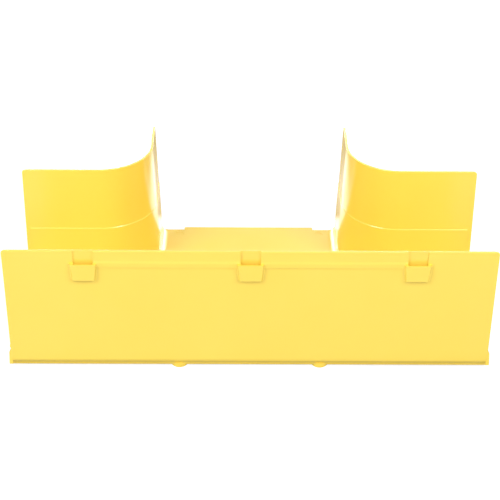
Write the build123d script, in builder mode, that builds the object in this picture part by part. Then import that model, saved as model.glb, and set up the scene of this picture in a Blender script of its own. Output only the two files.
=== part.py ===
from build123d import *
import os
from math import radians, tan

# Horizontal tee for an open-topped fibre raceway, moulded in one piece.
# The through channel runs along X, +Y points into the branch and +Z is up.
# All sizes are in millimetres and all angles in degrees.

# Plan of the tee, over the outer faces of the walls at their top edges
run_length = 457.2
run_width = 155.0
branch_width = 204.5
branch_reach = 252.3
bend_radius = 50.8

# Section of the channel, with heights above the underside of the base rim
wall_height = 133.8
wall_thickness = 2.5
wall_lean = 2.0
floor_thickness = 2.5
rim_height = 2.6
rim_width = 3.0
rim_setback = 2.5
rim_draft = 1.6
foot_fillet = 7.5
outer_round = 7.0
edge_round = 0.6
corner_radius = 3.0

# Step along the inner faces: the lower panel stands in from the upper wall, with a sloping edge
step_level = 68.2
step_depth = 0.6
step_slope = 0.8

# Border at every open end, where the walls are a little thinner
border_width = 4.6
border_depth = 0.3

# Tongue of the floor at every open end, with a notch at each side of it
tongue_reach = 5.9
tongue_drop = 0.5
tongue_root = 1.0
tongue_corner = 1.0
notch_width = 16.3

# Ears at the foot of the walls, which stand out past every open end
ear_reach = 2.6
ear_root = 1.0
ear_bottom = 2.4
ear_shoulder_reach = 1.8
ear_shoulder = 16.0
ear_top = 20.5
ear_thickness = 1.5

# Cover latches: an open-topped pocket below a window in the wall's outer face
latch_spacing = 154.2
latch_top = 13.4
latch_bottom = 31.4
latch_top_width = 24.0
latch_bottom_width = 20.4
latch_stand_out = 3.8
latch_front_wall = 1.4
latch_floor = 2.0
latch_round = 1.0
latch_flare = 2.8
latch_flare_edge = 0.1
window_top_width = 18.8
window_bottom_width = 17.2
window_depth = 1.2

# Band along the top of the straight wall, between the latches
band_depth = 17.6
band_thickness = 0.6
bead_thickness = 1.1
bead_top = 10.4
bead_slope = 2.6
band_corner_rise = 2.6
band_corner_run = 3.5

# Round bosses under the base, which the fitting stands on
boss_diameter = 16.0
boss_spacing = 135.6
boss_overhang = 0.6
boss_height = 2.5
boss_chamfer = 0.4

# Round marks in the floor near the corners of every open end
mark_diameter = 10.3
mark_depth = 0.3
mark_from_end = 10.5
mark_from_wall = 10.7

# Room that cutting shapes run past the faces they cut
overrun = 5.0

# Places worked out from the sizes above
half_run = run_length / 2
half_branch = branch_width / 2
bend_x = half_branch + bend_radius
bend_y = run_width + bend_radius
floor_level = rim_height + floor_thickness
lean_rate = tan(radians(wall_lean))
rim_inset = wall_height * lean_rate + rim_setback
floor_inset = (wall_height - floor_level) * lean_rate + wall_thickness + step_depth + foot_fillet
section_reach = floor_inset + rim_width
bay_half = (latch_spacing - window_top_width) / 2
boss_y = rim_inset - boss_overhang + boss_diameter / 2
latch_places = [-latch_spacing, 0, latch_spacing]

# Open ends: the middle of each, the way out of it and its width
open_ends = [
    (Vector(-half_run, run_width / 2), Vector(-1, 0, 0), run_width),
    (Vector(half_run, run_width / 2), Vector(1, 0, 0), run_width),
    (Vector(0, branch_reach), Vector(0, 1, 0), branch_width),
]


def section_plane(x, y, inward):
    """Upright plane at the top edge of a wall: x into the channel, y up, z along the wall."""
    return Plane((x, y, 0), x_dir=inward, z_dir=Vector(*inward).cross(Vector(0, 0, 1)))


def face_plane(x, y, outward):
    """Plane on a wall's leaning outer face: origin on the top edge, y up, z out of the wall."""
    along = Vector(0, 0, 1).cross(Vector(*outward))
    return Plane((x, y, wall_height), x_dir=along, z_dir=Vector(*outward) - Vector(0, 0, lean_rate))


def wall_section(plane, border=False):
    """Section of a wall with its rounded foot, either the full one or that of the end borders."""
    relief = border_depth if border else 0
    panel = 0 if border else step_depth
    inner = wall_thickness - relief
    foot = ((wall_height - rim_height) * lean_rate + relief, rim_height)
    heel = ((wall_height - floor_level) * lean_rate + inner + panel, floor_level)
    panel_top = step_level - step_slope
    step = [
        ((wall_height - panel_top) * lean_rate + inner + panel, panel_top),
        ((wall_height - step_level) * lean_rate + inner, step_level),
    ]
    outline = [
        (relief, wall_height),
        foot,
        (section_reach, rim_height),
        (section_reach, floor_level),
        heel,
        *([] if border else step),
        (inner, wall_height),
    ]
    roundings = [
        (foot, outer_round),
        (heel, foot_fillet),
        (outline[0], edge_round),
        (outline[-1], edge_round),
    ]
    with BuildSketch(plane) as section:
        with BuildLine():
            Polyline(*outline, close=True)
        make_face()
        for corner, radius in roundings:
            fillet(section.vertices().sort_by_distance(corner)[0], radius)
    return section.sketch


def tee_plan(inset, level):
    """Plan of the tee at one height, set in from the walls' top edges, up to the open ends."""
    with BuildSketch(Plane.XY.offset(level)) as plan:
        with BuildLine():
            Polyline(
                (-bend_x, run_width - inset),
                (-half_run, run_width - inset),
                (-half_run, inset),
                (half_run, inset),
                (half_run, run_width - inset),
                (bend_x, run_width - inset),
            )
            CenterArc((bend_x, bend_y), bend_radius + inset, 180, 90)
            Polyline(
                (half_branch - inset, bend_y),
                (half_branch - inset, branch_reach),
                (inset - half_branch, branch_reach),
                (inset - half_branch, bend_y),
            )
            CenterArc((-bend_x, bend_y), bend_radius + inset, 270, 90)
        make_face()
    return plan.sketch


def flare_section(width, drop):
    """Level section of a latch pocket's root, which flares out into the wall at both sides."""
    half = width / 2
    with BuildSketch(Plane.XZ.offset(drop)) as section:
        with BuildLine():
            flare = CenterArc((half + latch_flare, latch_flare + latch_flare_edge), latch_flare, 180, 90)
            Polyline(
                flare @ 1,
                (half + latch_flare, -window_depth),
                (0, -window_depth),
                (0, latch_flare + latch_flare_edge),
                flare @ 0,
            )
        make_face()
        mirror(about=Plane.YZ)
    return section.sketch


# Straight long wall, with a thinner border at each end
with BuildPart() as straight_wall:
    border_start = section_plane(-half_run, 0, (0, 1, 0))
    main_start = section_plane(border_width - half_run, 0, (0, 1, 0))
    border_end = section_plane(half_run - border_width, 0, (0, 1, 0))
    extrude(wall_section(border_start, border=True), amount=border_width)
    extrude(wall_section(main_start), amount=run_length - 2 * border_width)
    extrude(wall_section(border_end, border=True), amount=border_width)

# One rear wall: a straight stretch, the bend into the branch and the branch's wall
with BuildPart() as rear_wall:
    run_border = section_plane(half_run, run_width, (0, -1, 0))
    run_stretch = section_plane(half_run - border_width, run_width, (0, -1, 0))
    bend_start = section_plane(bend_x, run_width, (0, -1, 0))
    branch_stretch = section_plane(half_branch, bend_y, (-1, 0, 0))
    branch_border = section_plane(half_branch, branch_reach - border_width, (-1, 0, 0))
    extrude(wall_section(run_border, border=True), amount=border_width)
    extrude(wall_section(run_stretch), amount=half_run - border_width - bend_x)
    revolve(wall_section(bend_start), Axis((bend_x, bend_y, 0), (0, 0, -1)), revolution_arc=90)
    extrude(wall_section(branch_stretch), amount=branch_reach - border_width - bend_y)
    extrude(wall_section(branch_border, border=True), amount=border_width)

# Floor with the drafted rim below it, hollowed out underneath to an even thickness
with BuildPart() as base:
    loft([tee_plan(rim_inset + rim_draft, 0), tee_plan(rim_inset, floor_level)], ruled=True)
    extrude(tee_plan(rim_inset + rim_width, 0), amount=rim_height, mode=Mode.SUBTRACT)

# Latch pocket, drawn on a wall's outer face with its origin on the wall's top edge
with BuildPart() as latch_pocket:
    with BuildSketch(Plane.XY.offset(-window_depth)):
        with BuildLine():
            Polyline(
                (-latch_top_width / 2, -latch_top),
                (latch_top_width / 2, -latch_top),
                (latch_bottom_width / 2, -latch_bottom),
                (-latch_bottom_width / 2, -latch_bottom),
                close=True,
            )
        make_face()
    extrude(amount=window_depth + latch_stand_out)
    outer_edges = latch_pocket.edges().group_by(Axis.Z)[-1].sort_by(Axis.Y)
    fillet(outer_edges[:-1], latch_round)
    loft([flare_section(latch_top_width, latch_top), flare_section(latch_bottom_width, latch_bottom)], ruled=True)

# Space of the window and of the pocket below it
with BuildPart() as latch_space:
    with BuildSketch(Plane.XY.offset(-window_depth)):
        with BuildLine():
            Polyline(
                (-window_top_width / 2, overrun),
                (window_top_width / 2, overrun),
                (window_bottom_width / 2, latch_floor - latch_bottom),
                (-window_bottom_width / 2, latch_floor - latch_bottom),
                close=True,
            )
        make_face()
    extrude(amount=window_depth + latch_stand_out - latch_front_wall)

# Bands of the straight wall, each with a thicker bead along its lower edge
with BuildPart() as wall_bands:
    with BuildSketch(section_plane(-half_run, 0, (0, 1, 0))) as band_section:
        with BuildLine():
            Polyline(
                (-band_thickness, wall_height),
                (bead_top * lean_rate - band_thickness, wall_height - bead_top),
                ((bead_top + bead_slope) * lean_rate - bead_thickness, wall_height - bead_top - bead_slope),
                (band_depth * lean_rate - bead_thickness, wall_height - band_depth),
                (wall_thickness / 2, wall_height - band_depth),
                (wall_thickness / 2, wall_height),
                close=True,
            )
        make_face()
        fillet(band_section.vertices().sort_by_distance((-band_thickness, wall_height))[0], edge_round)
    extrude(amount=run_length)
    with BuildSketch(face_plane(0, 0, (0, -1, 0))):
        with Locations((-latch_spacing / 2, 0), (latch_spacing / 2, 0)):
            Polygon(
                (-bay_half, overrun),
                (bay_half, overrun),
                (bay_half, band_corner_rise - band_depth),
                (bay_half - band_corner_run, -band_depth),
                (band_corner_run - bay_half, -band_depth),
                (-bay_half, band_corner_rise - band_depth),
                align=None,
            )
    extrude(amount=wall_thickness, both=True, mode=Mode.INTERSECT)

# The whole fitting, first in the frame whose origin lies below the straight wall's top edge
with BuildPart() as tee:
    add(straight_wall.part)
    add(rear_wall.part)
    mirror(rear_wall.part, about=Plane.YZ)
    add(base.part)
    add(wall_bands.part)

    # Latches of the straight wall
    with Locations(*[face_plane(x, 0, (0, -1, 0)) for x in latch_places]):
        add(latch_pocket.part)
    with Locations(*[face_plane(x, 0, (0, -1, 0)) for x in latch_places]):
        add(latch_space.part, mode=Mode.SUBTRACT)

    # Bosses under the base: two along the straight wall and two in line with the rear walls
    with BuildSketch(Plane.XY.offset(-boss_height)):
        with Locations((0, run_width / 2)):
            with GridLocations(boss_spacing, run_width - 2 * boss_y, 2, 2):
                Circle(boss_diameter / 2)
    extrude(amount=boss_height + rim_height)
    chamfer(tee.edges().group_by(Axis.Z)[0], boss_chamfer)

    for middle, past, width in open_ends:
        across = Vector(0, 0, 1).cross(past)

        # Rounded top corners of the walls
        with BuildSketch(Plane(middle, x_dir=past, z_dir=-across)):
            with Locations((0, wall_height)):
                Rectangle(2 * corner_radius, 2 * corner_radius)
            with Locations((-corner_radius, wall_height - corner_radius)):
                Circle(corner_radius, mode=Mode.SUBTRACT)
        extrude(amount=width / 2 + overrun, both=True, mode=Mode.SUBTRACT)

        # Ears at the foot of the walls
        for outward in (-across, across):
            foot = middle + outward * ((width - wall_thickness) / 2 - wall_height * lean_rate)
            up = Vector(0, 0, 1) + outward * lean_rate
            with BuildSketch(Plane(foot, x_dir=past, z_dir=past.cross(up))):
                with BuildLine():
                    Polyline(
                        (-ear_root, ear_bottom),
                        (ear_reach, ear_bottom),
                        (ear_shoulder_reach, ear_shoulder),
                        (0, ear_top),
                        (-ear_root, ear_top),
                        close=True,
                    )
                make_face()
            extrude(amount=ear_thickness / 2, both=True)

        # Tongue of the floor
        tongue_level = floor_level - tongue_drop
        with BuildSketch(Plane(middle + Vector(0, 0, tongue_level), x_dir=past)) as tongue:
            with Locations(((tongue_reach - tongue_root) / 2, 0)):
                Rectangle(tongue_reach + tongue_root, width - 2 * (floor_inset + notch_width))
            fillet(tongue.vertices().group_by(Axis.X)[-1], tongue_corner)
        extrude(amount=overrun, mode=Mode.SUBTRACT)
        extrude(tongue.sketch, amount=rim_height - tongue_level)

        # Round marks in the floor
        mark_offset = width / 2 - floor_inset - mark_from_wall
        with BuildSketch(Plane(middle + Vector(0, 0, floor_level), x_dir=past)):
            with Locations((-mark_from_end, -mark_offset), (-mark_from_end, mark_offset)):
                Circle(mark_diameter / 2)
        extrude(amount=-mark_depth, mode=Mode.SUBTRACT)

# Same fitting with its origin under the middle of its outline, on the surface that it stands on
outline = tee.part.bounding_box()
with BuildPart() as tee_fitting:
    with Locations((0, -outline.center().Y, -outline.min.Z)):
        add(tee.part)

tee_fitting.part.label = "tee_fitting"
os.makedirs("parts", exist_ok=True)
export_step(tee_fitting.part, "parts/tee_fitting.step")
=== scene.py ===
import bpy
from math import cos, radians, sin
from mathutils import Matrix, Vector


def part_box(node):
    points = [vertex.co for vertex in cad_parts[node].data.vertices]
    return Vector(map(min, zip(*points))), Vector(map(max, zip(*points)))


# Glossy yellow tee for an open fibre raceway, on a white table in soft light from all sides
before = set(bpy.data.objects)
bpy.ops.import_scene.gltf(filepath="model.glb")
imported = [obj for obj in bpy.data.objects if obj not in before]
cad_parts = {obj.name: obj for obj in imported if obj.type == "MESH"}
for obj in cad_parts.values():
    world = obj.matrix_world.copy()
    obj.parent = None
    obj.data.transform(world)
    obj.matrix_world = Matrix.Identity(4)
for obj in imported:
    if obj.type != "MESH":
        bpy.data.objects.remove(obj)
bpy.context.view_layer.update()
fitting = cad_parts["tee_fitting"]
low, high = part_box("tee_fitting")
mm = 0.001
print("frame loaded, fitting is", [round(size / mm, 1) for size in high - low], "mm")


# Colours are written as sRGB hex and turned to linear here, by the curve of the sRGB standard
def linearColour(hexCode):
    channels = [int(hexCode[i:i + 2], 16) / 255 for i in (1, 3, 5)]
    linear = [c / 12.92 if c <= 0.04045 else ((c + 0.055) / 1.055) ** 2.4 for c in channels]
    return (*linear, 1)


# Adds one node, sets its properties and sockets, and links what comes in. Sockets that share a
# name, as on the Math and Mix nodes, go by their number
def addNode(tree, kind, settings=None, inputs=None, links=None):
    node = tree.nodes.new(kind)
    for name, value in (settings or {}).items():
        setattr(node, name, value)
    for name, value in (inputs or {}).items():
        node.inputs[name].default_value = value
    for name, socket in (links or {}).items():
        tree.links.new(socket, node.inputs[name])
    return node


def newMaterial(name):
    material = bpy.data.materials.new(name)
    material.use_nodes = True
    material.node_tree.nodes.clear()
    return material, material.node_tree


# Glossy injection-moulded ABS, coloured through: a clear yellow with a smooth skin that mirrors
# its surroundings at a shallow angle. The melt leaves faint clouds in the colour and the gloss,
# and the skin has the slight waviness of a polished mould
plastic = {
    "colour": "#FEE05F",
    "cloudColour": "#FDDC57",
    "cloudSize": 70 * mm,
    "cloudDetail": 2.0,
    "roughness": (0.17, 0.23),
    "glossSize": 12 * mm,
    "glossDetail": 4.0,
    "glossRange": (0.3, 0.7),           # noise values where each roughness is reached
    "waveSize": 5 * mm,                 # real waves are about 1 mm, drawn coarser so that they show
    "waveHeight": 0.012 * mm,
    "waveDetail": 1.0,
    "ior": 1.52,
}


def glossyYellowAbs():
    material, tree = newMaterial("glossyYellowAbs")
    place = addNode(tree, "ShaderNodeTexCoord")
    clouds = addNode(tree, "ShaderNodeTexNoise", inputs={
        "Scale": 1 / plastic["cloudSize"],
        "Detail": plastic["cloudDetail"],
    }, links={"Vector": place.outputs["Object"]})
    tone = addNode(tree, "ShaderNodeMix", {"data_type": "RGBA"}, {
        6: linearColour(plastic["colour"]),
        7: linearColour(plastic["cloudColour"]),
    }, {0: clouds.outputs["Fac"]})
    sheen = addNode(tree, "ShaderNodeTexNoise", inputs={
        "Scale": 1 / plastic["glossSize"],
        "Detail": plastic["glossDetail"],
    }, links={"Vector": place.outputs["Object"]})
    gloss = addNode(tree, "ShaderNodeMapRange", inputs={
        "From Min": plastic["glossRange"][0],
        "From Max": plastic["glossRange"][1],
        "To Min": plastic["roughness"][0],
        "To Max": plastic["roughness"][1],
    }, links={"Value": sheen.outputs["Fac"]})
    waves = addNode(tree, "ShaderNodeTexNoise", inputs={
        "Scale": 1 / plastic["waveSize"],
        "Detail": plastic["waveDetail"],
    }, links={"Vector": place.outputs["Object"]})
    skin = addNode(tree, "ShaderNodeBump", inputs={"Distance": plastic["waveHeight"]},
                   links={"Height": waves.outputs["Fac"]})
    surface = addNode(tree, "ShaderNodeBsdfPrincipled", inputs={"IOR": plastic["ior"]}, links={
        "Base Color": tone.outputs[2],
        "Roughness": gloss.outputs["Result"],
        "Normal": skin.outputs["Normal"],
    })
    addNode(tree, "ShaderNodeOutputMaterial", links={"Surface": surface.outputs["BSDF"]})
    return material


finish = glossyYellowAbs()
for slot in fitting.material_slots:
    slot.material = finish
print("fitting finished in glossy yellow ABS")

# White table top, wide enough to fill the view. A glow that the camera alone sees takes it to
# white, and brighter areas that show in reflections alone stand in for the white cards of a studio
table = {
    "width": 12.0,
    "colour": "#BABABA",
    "glow": 0.7,                        # seen by the camera only
    "mirrorGlow": 0.6,                  # in front of the fitting, in reflections only
    "frontEdge": (-0.12, -0.15),        # where that glow starts, and where it is full
    "patchGlow": 2.5,                   # bright oval behind the branch, in reflections only
    "patchPlace": (0.0, 0.21, 0.0),
    "patchReach": (0.088, 0.15, 1.0),   # half its width, half its depth
    "patchFade": (1.0, 0.4),            # shares of the reach where it starts, and where it is full
    "stripGlow": 1.5,                   # from behind the branch to the middle, in reflections only
    "stripEdge": (0.175, 0.155),        # where that glow starts, and where it is full
    "middle": 0.0,                      # line where the strip ends and the front's glow takes over
}


def whiteTable():
    material, tree = newMaterial("whiteTable")
    paint = addNode(tree, "ShaderNodeBsdfDiffuse", inputs={"Color": linearColour(table["colour"])})
    ray = addNode(tree, "ShaderNodeLightPath")
    place = addNode(tree, "ShaderNodeTexCoord")
    centred = addNode(tree, "ShaderNodeMapping", {"vector_type": "TEXTURE"}, {
        "Location": table["patchPlace"],
        "Scale": table["patchReach"],
    }, {"Vector": place.outputs["Object"]})
    away = addNode(tree, "ShaderNodeVectorMath", {"operation": "LENGTH"},
                   links={0: centred.outputs["Vector"]})
    patch = addNode(tree, "ShaderNodeMapRange", {"interpolation_type": "SMOOTHSTEP"}, {
        "From Min": table["patchFade"][0],
        "From Max": table["patchFade"][1],
        "To Max": table["patchGlow"],
    }, {"Value": away.outputs["Value"]})
    spot = addNode(tree, "ShaderNodeSeparateXYZ", links={"Vector": place.outputs["Object"]})
    strip = addNode(tree, "ShaderNodeMapRange", {"interpolation_type": "SMOOTHSTEP"}, {
        "From Min": table["stripEdge"][0],
        "From Max": table["stripEdge"][1],
        "To Max": table["stripGlow"],
    }, {"Value": spot.outputs["Y"]})
    front = addNode(tree, "ShaderNodeMapRange", {"interpolation_type": "SMOOTHSTEP"}, {
        "From Min": table["frontEdge"][0],
        "From Max": table["frontEdge"][1],
        "To Max": table["mirrorGlow"],
    }, {"Value": spot.outputs["Y"]})
    isFront = addNode(tree, "ShaderNodeMath", {"operation": "LESS_THAN"}, {1: table["middle"]},
                      {0: spot.outputs["Y"]})
    across = addNode(tree, "ShaderNodeMix", links={
        0: isFront.outputs["Value"],
        2: strip.outputs["Result"],
        3: front.outputs["Result"],
    })
    mirrored = addNode(tree, "ShaderNodeMath", {"operation": "MAXIMUM"},
                       links={0: patch.outputs["Result"], 1: across.outputs[0]})
    seen = addNode(tree, "ShaderNodeMath", {"operation": "MULTIPLY"}, {1: table["glow"]},
                   {0: ray.outputs["Is Camera Ray"]})
    strength = addNode(tree, "ShaderNodeMath", {"operation": "MULTIPLY_ADD"}, links={
        0: ray.outputs["Is Glossy Ray"],
        1: mirrored.outputs["Value"],
        2: seen.outputs["Value"],
    })
    glow = addNode(tree, "ShaderNodeEmission", links={"Strength": strength.outputs["Value"]})
    both = addNode(tree, "ShaderNodeAddShader",
                   links={0: paint.outputs["BSDF"], 1: glow.outputs["Emission"]})
    addNode(tree, "ShaderNodeOutputMaterial", links={"Surface": both.outputs["Shader"]})
    return material


half = table["width"] / 2
corners = [(-half, -half, 0), (half, -half, 0), (half, half, 0), (-half, half, 0)]
tableMesh = bpy.data.meshes.new("tableTop")
tableMesh.from_pydata(corners, [], [(0, 1, 2, 3)])
tableMesh.materials.append(whiteTable())
tableTop = bpy.data.objects.new("tableTop", tableMesh)
bpy.context.scene.collection.objects.link(tableTop)
print("table top laid")

# Light tent: an even white glow all round, with two wide soft lamps above the front, weak low
# ones at the four corners, and a weak one high behind on the right that whitens the floor
tent = {
    "glow": 0.52,
    "mirrorGlow": 0.43,                 # added to the tent in reflections
    "backGlow": 10.0,                   # bright low backdrop, in reflections only
    "backSide": (0.6, 0.8),             # how far back a ray heads where it starts, and is full
    "backTop": (0.45, 0.3),             # how steeply a ray climbs where it ends, and is full
    "lamps": [                          # place, size and power of each
        ((-1.15, -1.35, 1.55), 0.8, 21.5),
        ((1.05, -1.4, 1.55), 0.8, 19.5),
        ((-1.3, -0.8, 0.1), 0.5, 3.5),
        ((1.3, -0.8, 0.1), 0.5, 2.0),
        ((-1.25, 1.3, 0.12), 0.6, 4.0),
        ((1.25, 1.3, 0.12), 0.6, 4.0),
        ((0.6, 1.7, 1.1), 1.0, 2.3),
    ],
}


def lightTent():
    world = bpy.data.worlds.new("lightTent")
    world.use_nodes = True
    tree = world.node_tree
    tree.nodes.clear()
    ray = addNode(tree, "ShaderNodeLightPath")
    heading = addNode(tree, "ShaderNodeTexCoord")
    course = addNode(tree, "ShaderNodeSeparateXYZ", links={"Vector": heading.outputs["Generated"]})
    behind = addNode(tree, "ShaderNodeMapRange", {"interpolation_type": "SMOOTHSTEP"}, {
        "From Min": tent["backSide"][0],
        "From Max": tent["backSide"][1],
        "To Max": tent["backGlow"],
    }, {"Value": course.outputs["Y"]})
    lowDown = addNode(tree, "ShaderNodeMapRange", {"interpolation_type": "SMOOTHSTEP"}, {
        "From Min": tent["backTop"][0],
        "From Max": tent["backTop"][1],
    }, {"Value": course.outputs["Z"]})
    mirrored = addNode(tree, "ShaderNodeMath", {"operation": "MULTIPLY_ADD"},
                       {2: tent["mirrorGlow"]},
                       {0: behind.outputs["Result"], 1: lowDown.outputs["Result"]})
    strength = addNode(tree, "ShaderNodeMath", {"operation": "MULTIPLY_ADD"}, {2: tent["glow"]},
                       {0: mirrored.outputs["Value"], 1: ray.outputs["Is Glossy Ray"]})
    # The camera itself sees plain white
    shown = addNode(tree, "ShaderNodeMath", {"operation": "MAXIMUM"},
                    links={0: strength.outputs["Value"], 1: ray.outputs["Is Camera Ray"]})
    background = addNode(tree, "ShaderNodeBackground", inputs={"Color": (1, 1, 1, 1)},
                         links={"Strength": shown.outputs["Value"]})
    addNode(tree, "ShaderNodeOutputWorld", links={"Surface": background.outputs["Background"]})
    return world


bpy.context.scene.world = lightTent()
for spot, size, power in tent["lamps"]:
    lampData = bpy.data.lights.new("softLamp", "AREA")
    lampData.size = size
    lampData.energy = power
    lamp = bpy.data.objects.new("softLamp", lampData)
    lamp.location = spot
    lamp.rotation_euler = (-Vector(spot)).to_track_quat("-Z", "Y").to_euler()
    bpy.context.scene.collection.objects.link(lamp)
print("light tent hung")

# Camera: a long lens, looking down on the straight wall and almost square to it
view = {
    "elevation": 31.96,                 # degrees that it looks down
    "turn": 0.71,                       # degrees that it looks to the right of square on
    "tilt": 0.61,                       # degrees that it leans over to the left
    "distance": 1322.55 * mm,           # from its aim, on the straight wall's top edge
    "aside": 0.67 * mm,                 # its aim is this far to the right of the wall's middle
    "wallInset": 3.33 * mm,             # from the latches' faces back to the wall's top edge
    "lens": 104.2,                      # mm, as is the sensor's width
    "sensor": 36.0,
    "shiftX": -0.0032,
    "shiftY": 0.0034,
}
rise, turn, tilt = [radians(view[name]) for name in ("elevation", "turn", "tilt")]
aim = Vector((view["aside"], low.y + view["wallInset"], high.z))
ahead = Vector((sin(turn) * cos(rise), cos(turn) * cos(rise), -sin(rise)))
level = ahead.cross(Vector((0, 0, 1))).normalized()
upright = level.cross(ahead)
right = level * cos(tilt) + upright * sin(tilt)
up = upright * cos(tilt) - level * sin(tilt)
cameraData = bpy.data.cameras.new("photoCamera")
cameraData.sensor_width = view["sensor"]
cameraData.lens = view["lens"]
cameraData.shift_x = view["shiftX"]
cameraData.shift_y = view["shiftY"]
camera = bpy.data.objects.new("photoCamera", cameraData)
stand = Matrix.Translation(aim - ahead * view["distance"])
camera.matrix_world = stand @ Matrix((right, up, -ahead)).transposed().to_4x4()
bpy.context.scene.collection.objects.link(camera)
bpy.context.scene.camera = camera
bpy.context.scene.view_settings.view_transform = "Standard"
print("camera set")
